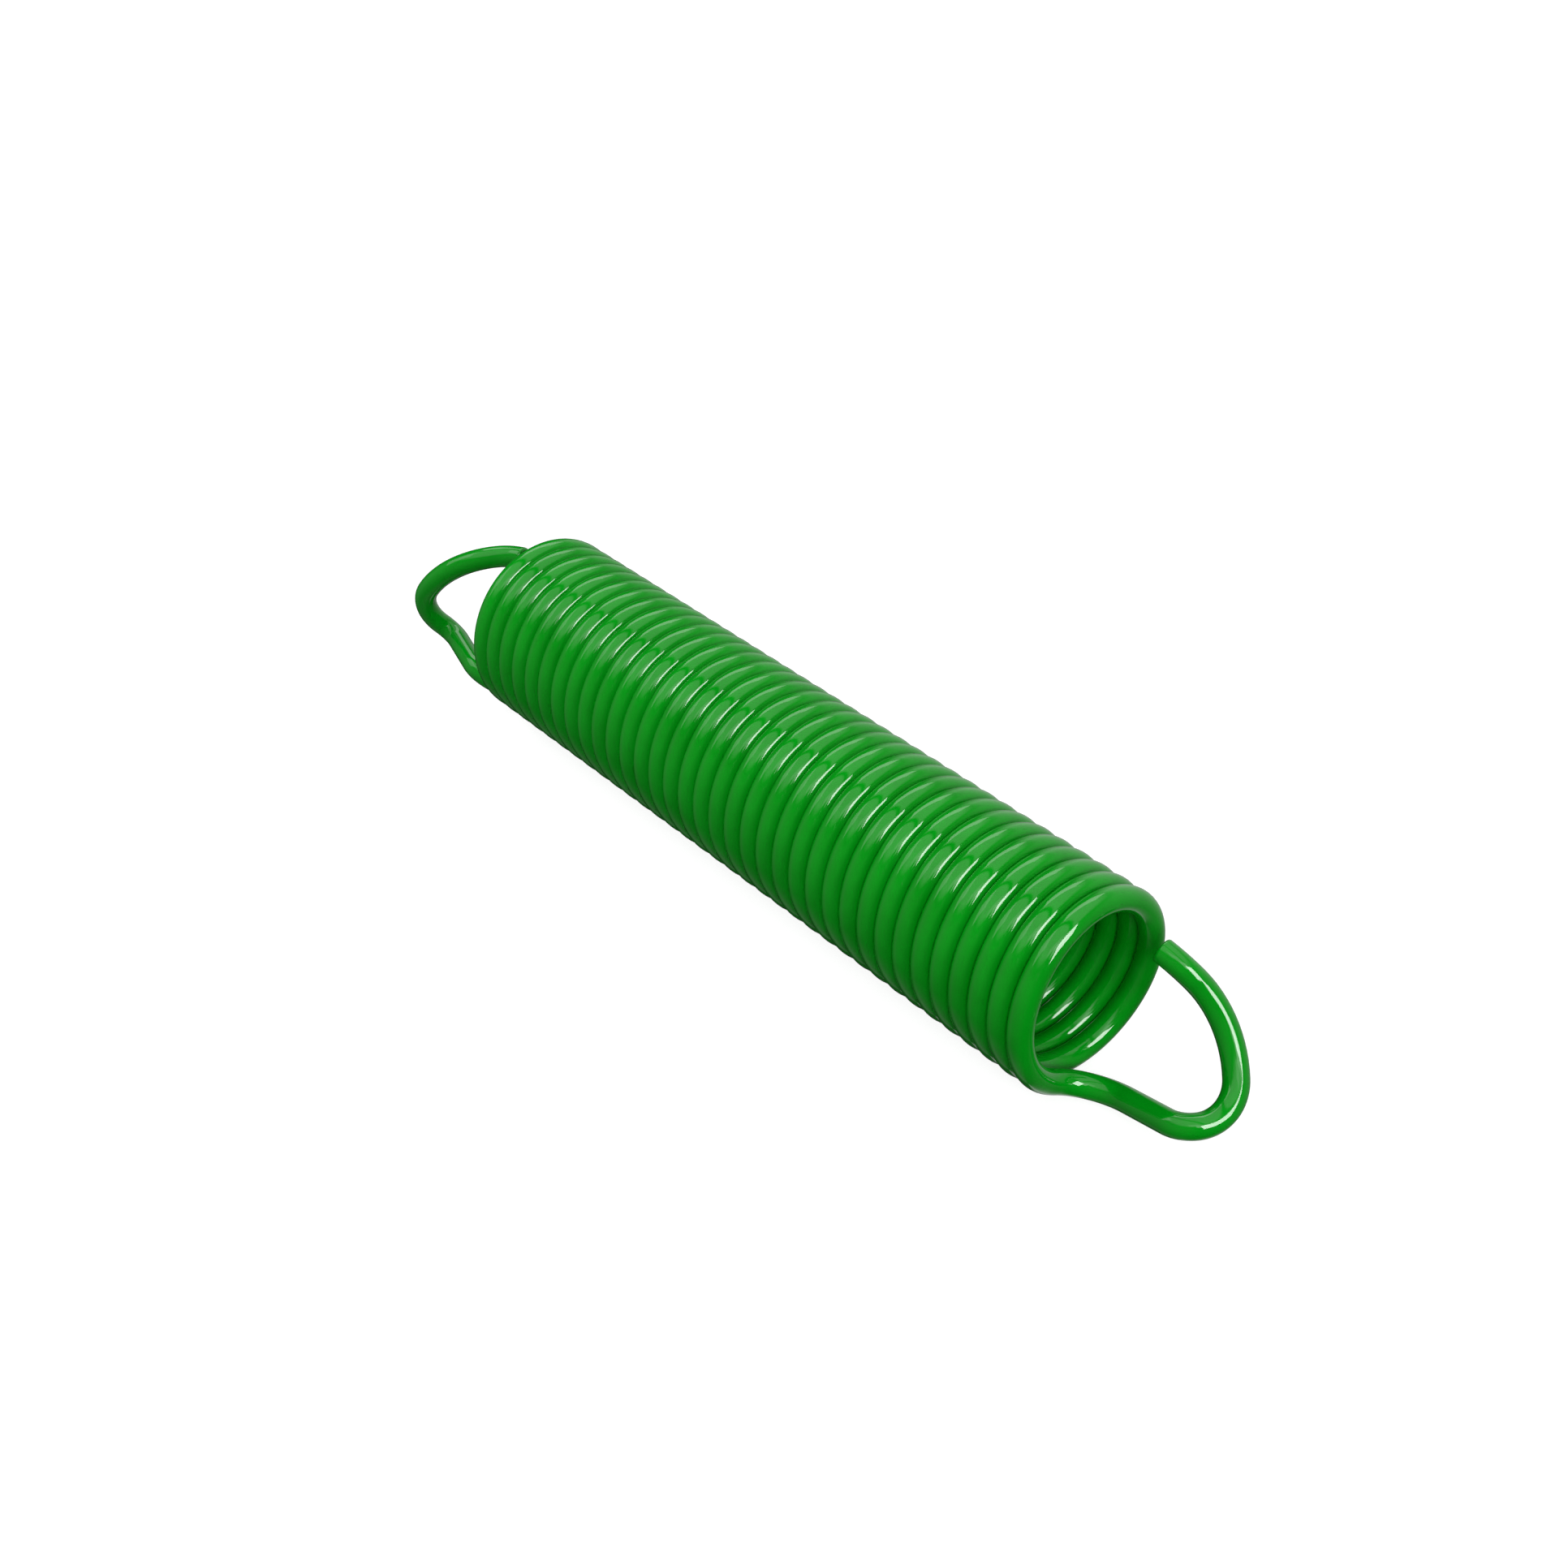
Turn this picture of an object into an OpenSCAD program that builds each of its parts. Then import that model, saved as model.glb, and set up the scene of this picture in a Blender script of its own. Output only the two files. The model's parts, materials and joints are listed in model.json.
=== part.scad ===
// Extension coil spring: one right-handed run of round wire, close-wound, with an open hook at each end.
// The coil lies along X and is centred on the origin. The rear hook is at -X, the front hook at +X.
// Each turn is its own part, so that the turns can open one by one as the spring is pulled.

/* [Wire] */
// Diameter of the coated wire
wire_d = 2.5; // [2:0.1:2.5]

/* [Coil] */
// Mean diameter of the coil, wire centre to wire centre
mean_d = 18.6; // [16:0.1:22]
// Advance per turn: the wire plus a hair of clearance, because the coil is close-wound
pitch = 2.53; // [2.53:0.01:3]
// Number of turns
turns = 35; // [3:1:50]
// Part of the first turn, in degrees, that the rear hook takes up
first_turn_cut = 34; // [5:1:90]

/* [Hooks] */
// Direction in which the coil ends, in degrees from +Y towards +Z
end_angle = 228; // [0:1:359]
// Lift bend, which starts to draw the wire off the coil: turn of the bending plane, in degrees
lift_roll = 31; // [24:1:38]
// Lift bend: radius at the wire's centre
lift_r = 6.2; // [5:0.1:8]
// Lift bend: angle
lift_angle = 19.8; // [10:0.1:25]
// Outward bend, which sets the wire along the coil's axis: turn of the bending plane, in degrees
outward_roll = 54; // [50:1:62]
// Outward bend: radius at the wire's centre
outward_r = 4.8; // [4:0.1:6]
// Outward bend: angle
outward_angle = 90; // [80:1:95]
// Length of the hook's straight leg
leg_length = 5.2; // [3:0.1:10]
// First tip bend: turn of the bending plane, in degrees
tip_roll = -162; // [-170:1:-155]
// First tip bend: radius at the wire's centre
tip_r = 2.6; // [2:0.1:3.5]
// First tip bend: angle
tip_angle = 70.2; // [60:0.1:80]
// Second tip bend, which carries the wire across the axis: turn of the bending plane, in degrees
cross_roll = 57; // [50:1:70]
// Second tip bend: radius at the wire's centre
cross_r = 4.5; // [3.5:0.1:5.5]
// Second tip bend: angle
cross_angle = 78.5; // [70:0.1:85]
// Closing bend, which brings the wire back to the coil: turn of the bending plane, in degrees
closing_roll = 19; // [12:1:26]
// Closing bend: radius at the wire's centre
closing_r = 10.5; // [9:0.1:12]
// Closing bend: angle
closing_angle = 55.1; // [46:0.1:60]
// Tuck bend, which points the free end at the coil: turn of the bending plane, in degrees
tuck_roll = -112; // [-120:1:-100]
// Tuck bend: radius at the wire's centre
tuck_r = 6.8; // [5:0.1:9]
// Tuck bend: angle
tuck_angle = 36; // [30:1:42]

/* [Hidden] */
// Two half turns, each a flat half ring tilted by this much, advance the wire by one pitch.
ring_tilt = atan(pitch / 2 / mean_d);
// Radius of one tilted half ring
ring_r = norm([mean_d / 2, pitch / 4]);
// How far along the axis the first turn starts, because part of it belongs to the hook
cut_advance = pitch / 4 * (1 - cos(first_turn_cut));
// Where the full winding would start, so that the coil is centred on the origin
coil_x0 = -(turns * pitch + cut_advance) / 2;
// The hook as a bending order: straight feed, turn of the bending plane, bend radius and bend angle
hook_bends = [
    [0, lift_roll, lift_r, lift_angle],
    [0, outward_roll, outward_r, outward_angle],
    [leg_length, tip_roll, tip_r, tip_angle],
    [0, cross_roll, cross_r, cross_angle],
    [0, closing_roll, closing_r, closing_angle],
    [0, tuck_roll, tuck_r, tuck_angle],
];
// One turn of the coil as a bending order
turn_bends = [
    [0, 0, ring_r, 180],
    [0, 2 * ring_tilt, ring_r, 180],
];
// Where the surface seam of a hook's wire lies, in degrees round its section
hook_seam = 60;
wire_green = [0.03, 0.48, 0.07];
$fn = 64;

function turn_name(i) = str("coil_turn_", i < 10 ? "0" : "", i);

// A bend of wire that starts at the origin, runs along +Y and curls towards -X.
// The seam angle turns the round section in place, so that neighbouring lengths meet edge to edge,
// and the wire is left out over the bend's first skip degrees.
module bend(r, angle, seam, skip) {
    translate([-r, 0, 0])
        rotate_extrude(angle = angle - skip, start = skip)
            translate([r, 0])
                rotate(seam)
                    circle(d = wire_d);
}

// A straight length of wire from the origin along +Y
module straight(length, seam) {
    rotate([-90, 0, 0])
        rotate([0, 0, -seam])
            cylinder(h = length, d = wire_d);
}

// Carries its children to the end of a bend of the same radius and angle
module after_bend(r, angle) {
    translate([-r, 0, 0])
        rotate([0, 0, angle])
            translate([r, 0, 0])
                children();
}

// A run of wire made to a bending order, from its bend number i to its end
module wire_run(bends, i = 0, seam = 0, skip = 0) {
    feed = bends[i][0];
    roll = bends[i][1];
    r = bends[i][2];
    angle = bends[i][3];
    if (feed > 0) straight(feed, seam);
    translate([0, feed, 0])
        rotate([0, roll, 0]) {
            bend(r, angle, seam + roll, skip);
            if (i + 1 < len(bends))
                after_bend(r, angle)
                    wire_run(bends, i + 1, seam + roll);
        }
}

// Places its children on half ring k, at a start angle along it, ready to run on along the winding.
// Half ring 0 is the first of the winding, and the even and odd ones lie on opposite sides of the coil.
module on_half_ring(k, start) {
    rotate([end_angle, 0, 0])
        translate([coil_x0 + (k + 0.5) * pitch / 2, 0, 0])
            rotate([180 * k, 0, 0])
                rotate([0, 0, ring_tilt])
                    rotate([start, 0, 0])
                        rotate([90, 0, 90])
                            translate([ring_r, 0, 0])
                                children();
}

module rear_hook() {
    color(wire_green)
        on_half_ring(0, first_turn_cut)
            rotate([180, 0, 0])
                wire_run(hook_bends, seam = hook_seam);
}

module coil_turn(i) {
    color(wire_green)
        on_half_ring(2 * i - 2, 0)
            wire_run(turn_bends, skip = i == 1 ? first_turn_cut : 0);
}

module front_hook() {
    color(wire_green)
        on_half_ring(2 * turns - 1, 180)
            wire_run(hook_bends, seam = hook_seam);
}

rear_hook();
for (i = [1:turns]) coil_turn(i);
front_hook();
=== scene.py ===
"""The looks of the extension coil spring: one run of glossy green coated wire.

The wire is drawn as swept tubes along the same bending order as the CAD part. Each turn of the coil is
two pieces: a first half ring, which is left in place and no body carries, and a second half ring that
rides on its own turn. Each hook is one piece.
"""

import json
import math

import bpy
from mathutils import Matrix, Vector


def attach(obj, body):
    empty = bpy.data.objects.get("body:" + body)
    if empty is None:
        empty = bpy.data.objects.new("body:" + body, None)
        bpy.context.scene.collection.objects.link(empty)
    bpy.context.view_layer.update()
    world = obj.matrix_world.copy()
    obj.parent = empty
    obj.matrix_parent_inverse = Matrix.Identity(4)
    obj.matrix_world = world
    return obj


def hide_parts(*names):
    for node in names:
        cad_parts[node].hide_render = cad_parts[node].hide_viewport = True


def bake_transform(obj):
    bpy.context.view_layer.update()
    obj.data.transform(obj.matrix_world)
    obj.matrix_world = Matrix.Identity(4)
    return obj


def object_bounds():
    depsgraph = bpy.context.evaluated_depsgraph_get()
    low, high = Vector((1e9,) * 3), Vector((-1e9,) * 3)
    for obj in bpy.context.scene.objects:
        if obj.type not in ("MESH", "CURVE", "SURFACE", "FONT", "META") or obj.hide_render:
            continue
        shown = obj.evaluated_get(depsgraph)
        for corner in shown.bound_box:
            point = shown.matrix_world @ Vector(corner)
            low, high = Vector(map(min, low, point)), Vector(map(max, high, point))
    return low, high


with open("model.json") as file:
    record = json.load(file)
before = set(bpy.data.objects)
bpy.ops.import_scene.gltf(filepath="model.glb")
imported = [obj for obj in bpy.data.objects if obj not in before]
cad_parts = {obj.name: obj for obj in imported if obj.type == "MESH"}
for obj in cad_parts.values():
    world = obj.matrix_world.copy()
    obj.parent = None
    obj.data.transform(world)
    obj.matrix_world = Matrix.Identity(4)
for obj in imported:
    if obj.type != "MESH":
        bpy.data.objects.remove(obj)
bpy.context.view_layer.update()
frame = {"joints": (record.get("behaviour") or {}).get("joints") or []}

# ---- The wire, in millimetres and degrees, as the CAD part has it ----
MEAN_D = 18.6
PITCH = 2.53
FIRST_TURN_CUT = 34
END_ANGLE = 228
# One joint opens each turn
TURNS = len(frame["joints"])
# The hook's bending order: straight feed, turn of the bending plane, bend radius, bend angle
HOOK_BENDS = (
    (0, 31, 6.2, 19.8),
    (0, 54, 4.8, 90),
    (5.2, -162, 2.6, 70.2),
    (0, 57, 4.5, 78.5),
    (0, 19, 10.5, 55.1),
    (0, -112, 6.8, 36),
)

# ---- How the wire is drawn ----
# The CAD part keeps a hairline between its turns. The real turns touch, so the drawn ones overlap this much
OVERLAP = 0.004
# Points round the wire, and the most that the wire bends from one ring of points to the next
SIDES = 40
STEP_ANGLE = 4.5
# Radius of the rounded edge of a cut end, and the rings of points that round it
END_ROUNDING = 0.3
END_STEPS = 5
# Metres in a millimetre, the unit of the numbers above
MM = 0.001

# ---- Worked out from those ----
WIRE_D = PITCH + OVERLAP
RING_TILT = math.degrees(math.atan(PITCH / 2 / MEAN_D))
RING_R = math.hypot(MEAN_D / 2, PITCH / 4)
CUT_ADVANCE = PITCH / 4 * (1 - math.cos(math.radians(FIRST_TURN_CUT)))
COIL_X0 = -(TURNS * PITCH + CUT_ADVANCE) / 2


def turned(axis, degrees):
    return Matrix.Rotation(math.radians(degrees), 4, axis)


def moved(x, y, z):
    return Matrix.Translation((x, y, z))


def on_half_ring(k, start):
    """Where the wire is on half ring k of the winding, at a start angle along it.

    Local +Y runs along the wire, and local -X to the ring's centre.
    """
    place = turned("X", END_ANGLE) @ moved(COIL_X0 + (k + 0.5) * PITCH / 2, 0, 0) @ turned("X", 180 * k)
    around = turned("Z", RING_TILT) @ turned("X", start) @ turned("Z", 90) @ turned("X", 90)
    return place @ around @ moved(RING_R, 0, 0)


def sections(place, bends):
    """The wire's cross-sections along a bending order: matrix, and turn of the outline about the wire."""
    rows = [(place, 0)]
    seam = 0
    for feed, roll, radius, angle in bends:
        if feed:
            place = place @ moved(0, feed, 0)
            rows.append((place, seam))
        place = place @ turned("Y", roll)
        seam += roll
        steps = math.ceil(angle / STEP_ANGLE)
        for i in range(1, steps + 1):
            part = angle * i / steps
            rows.append((place @ moved(-radius, 0, 0) @ turned("Z", part) @ moved(radius, 0, 0), seam))
        place = rows[-1][0]
    return rows


def ring_of(matrix, seam, radius, along, lean):
    """One ring of points and its normals: radius across, moved along the wire, normals leaning along it."""
    turn = matrix.to_3x3()
    points = []
    normals = []
    for k in range(SIDES):
        a = math.radians(seam) + 2 * math.pi * k / SIDES
        out = Vector((math.cos(a), 0, math.sin(a)))
        points.append((matrix @ (out * radius + Vector((0, along, 0)))) * MM)
        normals.append((turn @ (out * math.cos(lean) + Vector((0, math.sin(lean), 0)))).normalized())
    return points, normals


def rounded_end(matrix, seam):
    """The rings of the wire's cut end, whose edge the coating rounds."""
    rings = []
    for i in range(1, END_STEPS + 1):
        lean = math.pi / 2 * i / END_STEPS
        radius = WIRE_D / 2 - END_ROUNDING * (1 - math.cos(lean))
        rings.append(ring_of(matrix, seam, radius, END_ROUNDING * (math.sin(lean) - 1), lean))
    return rings


def wire_rings(place, bends, free_end):
    """All the rings of a piece of wire, with a rounded edge at its end if that is free."""
    rows = sections(place, bends)
    end, end_seam = rows[-1]
    if free_end:
        rows[-1] = (end @ moved(0, -END_ROUNDING, 0), end_seam)
    rings = [ring_of(matrix, seam, WIRE_D / 2, 0, 0) for matrix, seam in rows]
    if free_end:
        rings += rounded_end(end, end_seam)
    return rings


def wall_face(ring, side):
    """One face of the wire's wall, from a ring to the next."""
    here = ring * SIDES
    ahead = here + SIDES
    beside = (side + 1) % SIDES
    return (ahead + side, ahead + beside, here + beside, here + side)


def sharpen(mesh, rims):
    """Marks the edges of flat end faces as sharp. A rim is the number of the first point of its ring."""
    for edge in mesh.edges:
        first, second = sorted(edge.vertices)
        edge.use_edge_sharp = any(rim <= first and second < rim + SIDES for rim in rims)


def shade(mesh, wall_faces, wall_normals):
    """Gives the wall its smooth normals, and the two end faces, which come last, their own flat ones."""
    mesh.polygons.foreach_set("use_smooth", [True] * len(mesh.polygons))
    normals = []
    for face in mesh.polygons:
        flat = face.index >= wall_faces
        normals += [face.normal.copy() if flat else wall_normals[v] for v in face.vertices]
    mesh.normals_split_custom_set(normals)


def tube(name, place, bends, free_end=False):
    """A closed tube of wire, flat where it meets its neighbour and with a rounded edge at a free end."""
    rings = wire_rings(place, bends, free_end)
    walls = [wall_face(ring, side) for ring in range(len(rings) - 1) for side in range(SIDES)]
    last = (len(rings) - 1) * SIDES
    caps = [tuple(reversed(range(SIDES))), tuple(range(last, last + SIDES))]
    mesh = bpy.data.meshes.new(name)
    mesh.from_pydata([point for points, _ in rings for point in points], [], walls + caps)
    sharpen(mesh, (0,) if free_end else (0, last))
    shade(mesh, len(walls), [normal for _, normals in rings for normal in normals])
    piece = bpy.data.objects.new(name, mesh)
    bpy.context.scene.collection.objects.link(piece)
    return piece


def dressed(piece, node):
    """Gives a finished piece of wire its material, and hides the CAD node that it stands for."""
    piece.data.materials.append(GREEN_COAT)
    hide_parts(node)


def turn_body(i):
    """The body of turn i. Before that of turn 1 comes the rear hook's."""
    return f"turn_{i:02d}_body" if i else "rear_hook_body"


def coil_turn(i):
    """One turn: a first half ring, which is left in place and no body carries, then one that rides on its
    turn.
    """
    cut = FIRST_TURN_CUT if i == 1 else 0
    first = tube(f"turn_{i:02d}_first_half", on_half_ring(2 * i - 2, cut), [(0, 0, RING_R, 180 - cut)])
    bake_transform(first)
    second = tube(f"turn_{i:02d}_second_half", on_half_ring(2 * i - 1, 0), [(0, 0, RING_R, 180)])
    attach(second, turn_body(i))
    dressed(first, f"coil_turn_{i:02d}")
    dressed(second, f"coil_turn_{i:02d}")


def hooks():
    """The same hook at both ends: one runs back from the first turn, and the other on from the last."""
    rear_start = on_half_ring(0, FIRST_TURN_CUT) @ turned("X", 180)
    rear = tube("rear_hook_wire", rear_start, HOOK_BENDS, free_end=True)
    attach(rear, "rear_hook_body")
    dressed(rear, "rear_hook")
    front = tube("front_hook_wire", on_half_ring(2 * TURNS - 1, 180), HOOK_BENDS, free_end=True)
    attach(front, turn_body(TURNS))
    dressed(front, "front_hook")


# ---- Material ----

THIN_COAT = (0.001, 0.335, 0.009, 1)
THICK_COAT = (0.0, 0.29, 0.006, 1)
# Values of the noise at which the coat is at its thinnest and at its thickest
THINNEST_AT = 0.35
THICKEST_AT = 0.7
SMOOTHEST = 0.04
ROUGHEST = 0.09
ENAMEL_IOR = 1.5
# Cells per metre of the changes in depth, in gloss and of the orange peel, and the peel's height in metres
DEPTH_CELLS = 220
GLOSS_CELLS = 500
PEEL_CELLS = 900
PEEL_HEIGHT = 0.0000025


def noise(tree, scale, detail):
    """Noise fixed to the wire. The scale is cells per metre."""
    where = tree.nodes.new("ShaderNodeTexCoord")
    cells = tree.nodes.new("ShaderNodeTexNoise")
    cells.inputs["Scale"].default_value = scale
    cells.inputs["Detail"].default_value = detail
    tree.links.new(where.outputs["Object"], cells.inputs["Vector"])
    return cells.outputs["Fac"]


def green_coat():
    """Glossy green enamel over wire. It varies a little in depth and in gloss, with a faint orange peel."""
    mat = bpy.data.materials.new("green_coat")
    mat.use_nodes = True
    tree = mat.node_tree
    shader = tree.nodes["Principled BSDF"]
    shader.inputs["IOR"].default_value = ENAMEL_IOR
    tint = tree.nodes.new("ShaderNodeValToRGB")
    tint.color_ramp.elements[0].position = THINNEST_AT
    tint.color_ramp.elements[0].color = THIN_COAT
    tint.color_ramp.elements[1].position = THICKEST_AT
    tint.color_ramp.elements[1].color = THICK_COAT
    tree.links.new(noise(tree, DEPTH_CELLS, detail=3), tint.inputs["Fac"])
    tree.links.new(tint.outputs["Color"], shader.inputs["Base Color"])
    gloss = tree.nodes.new("ShaderNodeMapRange")
    gloss.inputs["To Min"].default_value = SMOOTHEST
    gloss.inputs["To Max"].default_value = ROUGHEST
    tree.links.new(noise(tree, GLOSS_CELLS, detail=2), gloss.inputs["Value"])
    tree.links.new(gloss.outputs["Result"], shader.inputs["Roughness"])
    peel = tree.nodes.new("ShaderNodeBump")
    peel.inputs["Distance"].default_value = PEEL_HEIGHT
    tree.links.new(noise(tree, PEEL_CELLS, detail=1), peel.inputs["Height"])
    tree.links.new(peel.outputs["Normal"], shader.inputs["Normal"])
    return mat


GREEN_COAT = green_coat()


# ---- Floor ----

FLOOR_RADIUS = 3
FLOOR_WHITE = 0.32
FLOOR_GLOW = 0.86


def floor():
    """A plain white floor under the coil. It glows, so that the spring's shadow on it stays faint.

    It neither shows in the spring's gloss nor lights the spring.
    """
    under = (0, 0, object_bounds()[0].z)
    bpy.ops.mesh.primitive_circle_add(vertices=96, radius=FLOOR_RADIUS, fill_type="NGON", location=under)
    plane = bpy.context.object
    plane.name = "studio_floor"
    plane.visible_glossy = False
    plane.visible_diffuse = False
    mat = bpy.data.materials.new("floor_white")
    mat.use_nodes = True
    shader = mat.node_tree.nodes["Principled BSDF"]
    shader.inputs["Base Color"].default_value = (FLOOR_WHITE, FLOOR_WHITE, FLOOR_WHITE, 1)
    shader.inputs["Roughness"].default_value = 1
    shader.inputs["Specular IOR Level"].default_value = 0
    shader.inputs["Emission Color"].default_value = (1, 1, 1, 1)
    shader.inputs["Emission Strength"].default_value = FLOOR_GLOW
    plane.data.materials.append(mat)


# ---- Room ----

CEILING_RADIANCE = 0.98
# Grey of the walls by azimuth, as a share of the ceiling
WALL_GREYS = (
    (-180, 0.03),
    (-165, 0.15),
    (-145, 0.3),
    (-120, 0.24),
    (-60, 0.14),
    (-20, 0.04),
    (15, 0.06),
    (30, 0.15),
    (60, 0.42),
    (95, 0.78),
    (122, 1),
    (132, 0.45),
    (140, 0.04),
    (180, 0.03),
)
# How much of that shows, by elevation
WALL_SHADE = ((-70, 1), (-45, 0.35), (-5, 0.85), (8, 1), (26, 0.95), (35, 0.5), (45, 0.6))
# Share of the ceiling by elevation
CEILING_SHARE = ((38, 0), (44, 0.5), (50, 1))
# The gap in the ceiling: azimuth and elevation of its normal, where its edge starts and ends, and its grey
GAP_NORMAL = (96, -1.5)
GAP_INNER = 1.5
GAP_OUTER = 4.5
GAP_GREY = 0.03


def grey_ramp(tree, angle, limit, stops):
    """A ramp of greys over an angle. The angle is in radians, and the limit and the stops in degrees."""
    ramp = tree.nodes.new("ShaderNodeValToRGB")
    spread = tree.nodes.new("ShaderNodeMapRange")
    spread.inputs["From Min"].default_value = math.radians(-limit)
    spread.inputs["From Max"].default_value = math.radians(limit)
    tree.links.new(angle, spread.inputs["Value"])
    tree.links.new(spread.outputs["Result"], ramp.inputs["Fac"])
    for _ in stops[2:]:
        ramp.color_ramp.elements.new(1)
    for element, (degrees, grey) in zip(ramp.color_ramp.elements, stops):
        element.position = (degrees + limit) / (2 * limit)
        element.color = (grey, grey, grey, 1)
    return ramp.outputs["Color"]


def layered(tree, share, below, above):
    """Two layers of colour: above shows where share is 1, and below where it is 0."""
    mix = tree.nodes.new("ShaderNodeMixRGB")
    tree.links.new(share, mix.inputs["Fac"])
    tree.links.new(below, mix.inputs["Color1"])
    tree.links.new(above, mix.inputs["Color2"])
    return mix.outputs["Color"]


def direction(azimuth, elevation):
    """The unit vector towards an azimuth, from +X towards +Y, and an elevation."""
    a = math.radians(azimuth)
    e = math.radians(elevation)
    return Vector((math.cos(a) * math.cos(e), math.sin(a) * math.cos(e), math.sin(e)))


def ceiling(tree, toward):
    """A white ceiling of two panels with a dark gap between them, which runs along the spring."""
    across = tree.nodes.new("ShaderNodeVectorMath")
    across.operation = "DOT_PRODUCT"
    across.inputs[1].default_value = direction(*GAP_NORMAL)
    tree.links.new(toward, across.inputs[0])
    away = tree.nodes.new("ShaderNodeMath")
    away.operation = "ABSOLUTE"
    tree.links.new(across.outputs["Value"], away.inputs[0])
    edge = tree.nodes.new("ShaderNodeMapRange")
    edge.inputs["From Min"].default_value = math.sin(math.radians(GAP_INNER))
    edge.inputs["From Max"].default_value = math.sin(math.radians(GAP_OUTER))
    edge.inputs["To Min"].default_value = GAP_GREY
    tree.links.new(away.outputs["Value"], edge.inputs["Value"])
    return edge.outputs["Result"]


def azimuth_and_elevation(tree, toward):
    """Both angles of a direction, in radians."""
    split = tree.nodes.new("ShaderNodeSeparateXYZ")
    tree.links.new(toward, split.inputs["Vector"])
    azimuth = tree.nodes.new("ShaderNodeMath")
    azimuth.operation = "ARCTAN2"
    tree.links.new(split.outputs["Y"], azimuth.inputs[0])
    tree.links.new(split.outputs["X"], azimuth.inputs[1])
    elevation = tree.nodes.new("ShaderNodeMath")
    elevation.operation = "ARCSINE"
    tree.links.new(split.outputs["Z"], elevation.inputs[0])
    return azimuth.outputs["Value"], elevation.outputs["Value"]


def room_colour(tree):
    """The colour of the room in every direction: the ceiling over the shaded walls."""
    toward = tree.nodes.new("ShaderNodeTexCoord").outputs["Generated"]
    azimuth, elevation = azimuth_and_elevation(tree, toward)
    walls = grey_ramp(tree, azimuth, 180, WALL_GREYS)
    shown = grey_ramp(tree, elevation, 90, WALL_SHADE)
    share = grey_ramp(tree, elevation, 90, CEILING_SHARE)
    dark = tree.nodes.new("ShaderNodeRGB")
    dark.outputs["Color"].default_value = (0, 0, 0, 1)
    shaded_walls = layered(tree, shown, dark.outputs["Color"], walls)
    return layered(tree, share, shaded_walls, ceiling(tree, toward))


def studio():
    """The room: a bright ceiling over dim walls, white where the camera looks past the floor."""
    world = bpy.data.worlds.new("studio")
    world.use_nodes = True
    bpy.context.scene.world = world
    tree = world.node_tree
    room = tree.nodes["Background"]
    room.inputs["Strength"].default_value = CEILING_RADIANCE
    tree.links.new(room_colour(tree), room.inputs["Color"])
    white = tree.nodes.new("ShaderNodeBackground")
    white.inputs["Strength"].default_value = 1
    white.inputs["Color"].default_value = (1, 1, 1, 1)
    seen = tree.nodes.new("ShaderNodeLightPath")
    either = tree.nodes.new("ShaderNodeMixShader")
    tree.links.new(seen.outputs["Is Camera Ray"], either.inputs["Fac"])
    tree.links.new(room.outputs["Background"], either.inputs[1])
    tree.links.new(white.outputs["Background"], either.inputs[2])
    tree.links.new(either.outputs["Shader"], tree.nodes["World Output"].inputs["Surface"])


# ---- Lights and camera ----

LAMP_DISTANCE = 1.5
CAMERA_LENS = 50
CAMERA_SENSOR = 36
# The direction in which the camera looks, and how far it stands from the middle of the spring
LOOK_AZIMUTH = 140
LOOK_ELEVATION = -34.64
CAMERA_DISTANCE = 0.22764


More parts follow.
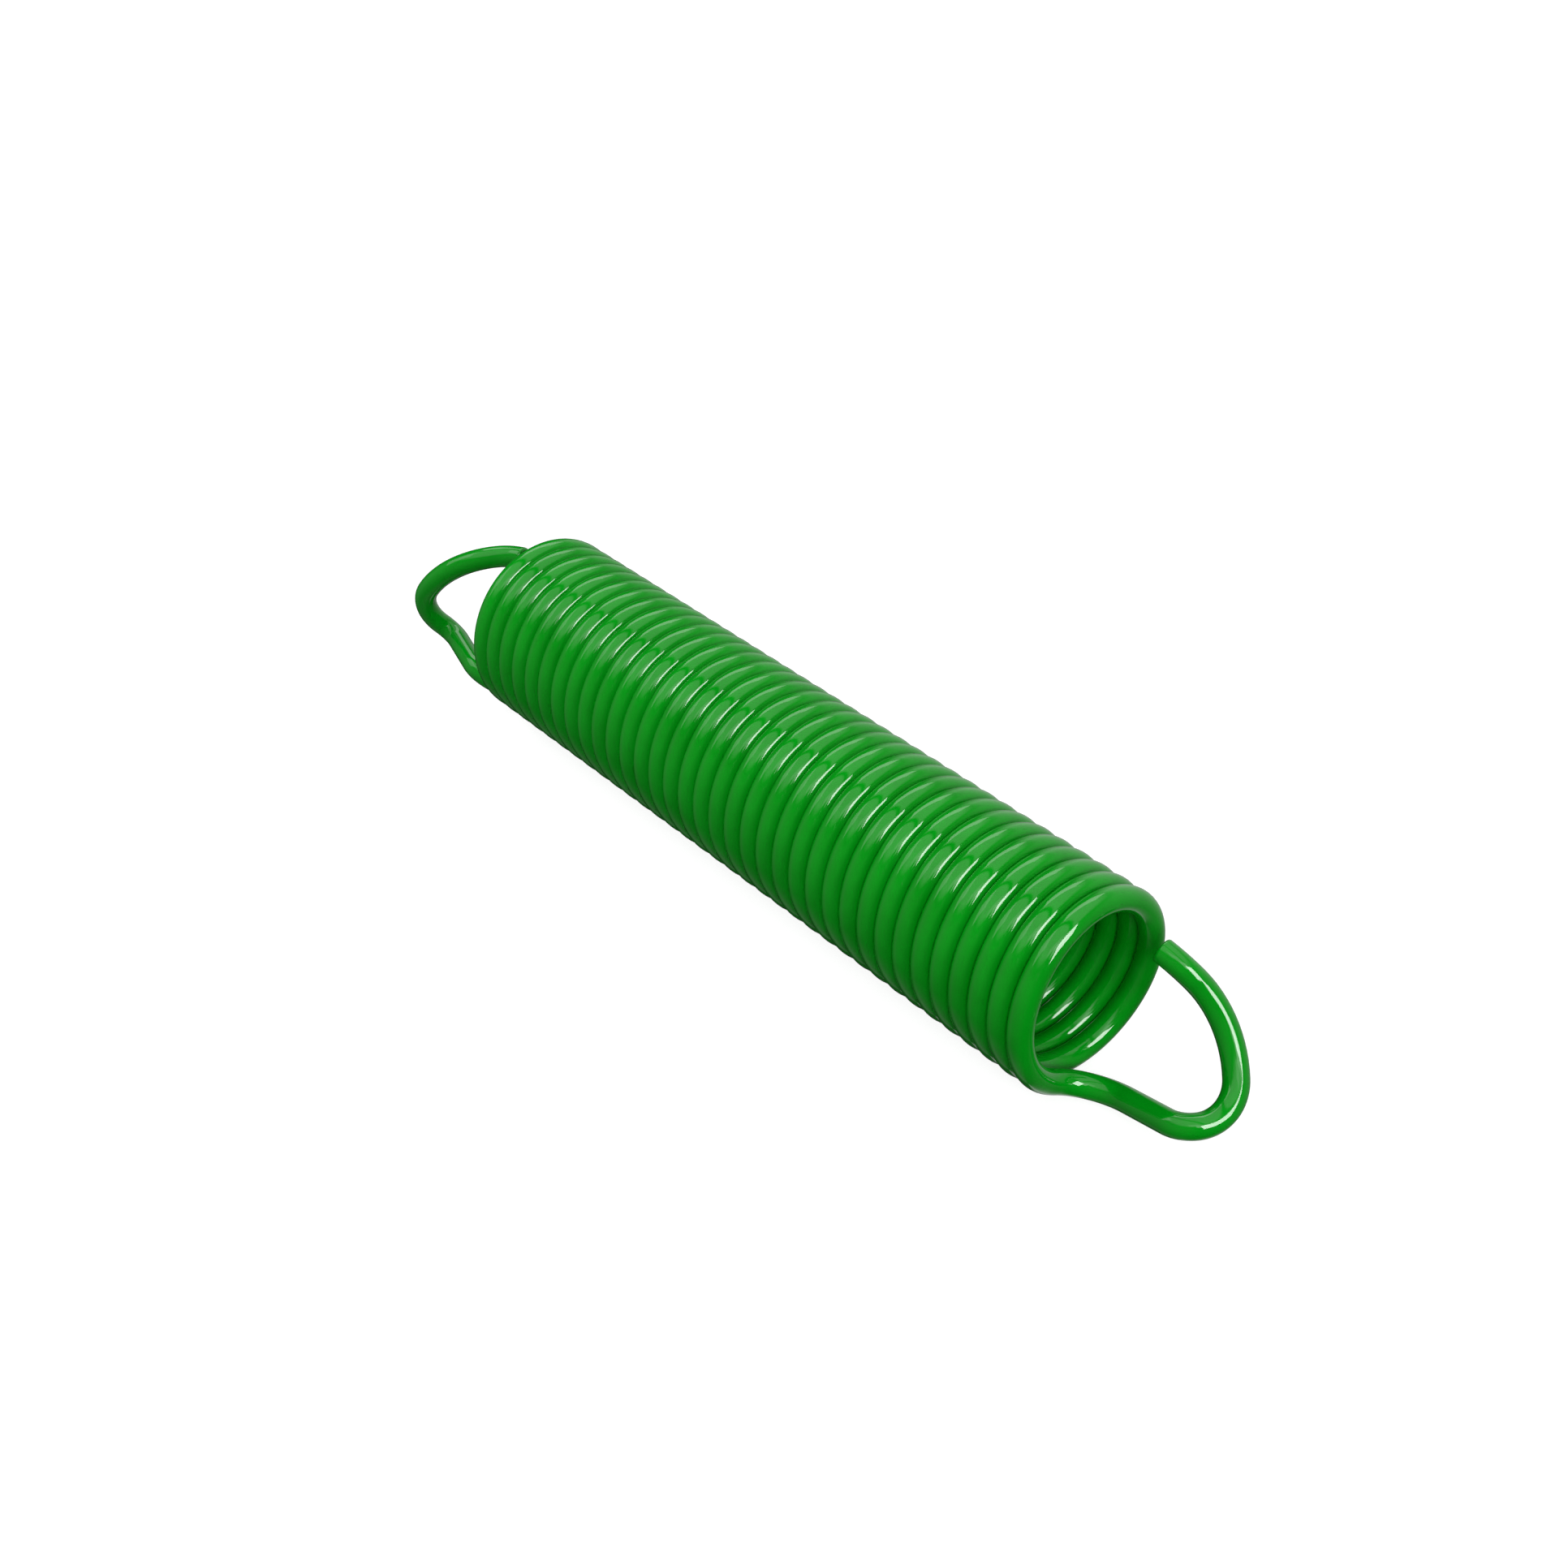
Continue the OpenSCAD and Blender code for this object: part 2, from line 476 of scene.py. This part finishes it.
def softbox(name, azimuth, elevation, wide, high, radiance, fills=True, shines=True):
    """A rectangular soft light round the spring. Its place and its size are angles as the spring sees them.

    A light that only fills gives no highlight, and one that only shines gives nothing but its reflection.
    """
    data = bpy.data.lights.new(name, "AREA")
    data.shape = "RECTANGLE"
    data.size = 2 * LAMP_DISTANCE * math.tan(math.radians(wide / 2))
    data.size_y = 2 * LAMP_DISTANCE * math.tan(math.radians(high / 2))
    data.energy = radiance * math.pi * data.size * data.size_y
    lamp = bpy.data.objects.new(name, data)
    toward = direction(azimuth, elevation)
    lamp.location = toward * LAMP_DISTANCE
    lamp.rotation_euler = toward.to_track_quat("Z", "Y").to_euler()
    lamp.visible_camera = False
    lamp.visible_diffuse = fills
    lamp.visible_glossy = shines
    bpy.context.scene.collection.objects.link(lamp)


def lights():
    softbox("front_softbox", azimuth=5, elevation=27, wide=24, high=26, radiance=14, fills=False)
    softbox("upper_softbox", azimuth=-8, elevation=39, wide=24, high=16, radiance=2.2, fills=False)
    softbox("upper_glow", azimuth=-30, elevation=51, wide=24, high=14, radiance=0.9, fills=False)
    softbox("back_softbox", azimuth=138, elevation=48, wide=45, high=22, radiance=2, fills=False)
    softbox("side_strip", azimuth=-147, elevation=41, wide=28, high=28, radiance=1.3)
    softbox("camera_fill", azimuth=-40, elevation=31, wide=20, high=20, radiance=9.6, shines=False)
    softbox("front_fill", azimuth=0, elevation=20, wide=20, high=20, radiance=6.5, shines=False)
    softbox("rear_fill", azimuth=-160, elevation=32, wide=20, high=20, radiance=5, shines=False)


def camera():
    """The camera looks at the middle of the spring from beyond its front hook and from above."""
    data = bpy.data.cameras.new("camera")
    data.lens = CAMERA_LENS
    data.sensor_width = CAMERA_SENSOR
    data.clip_start = 0.005
    data.clip_end = 20
    cam = bpy.data.objects.new("camera", data)
    ahead = direction(LOOK_AZIMUTH, LOOK_ELEVATION)
    cam.location = -ahead * CAMERA_DISTANCE
    cam.rotation_euler = ahead.to_track_quat("-Z", "Y").to_euler()
    bpy.context.scene.collection.objects.link(cam)
    bpy.context.scene.camera = cam


camera()
for number in range(1, TURNS + 1):
    coil_turn(number)
hooks()
floor()
studio()
lights()
bpy.context.scene.view_settings.view_transform = "Standard"
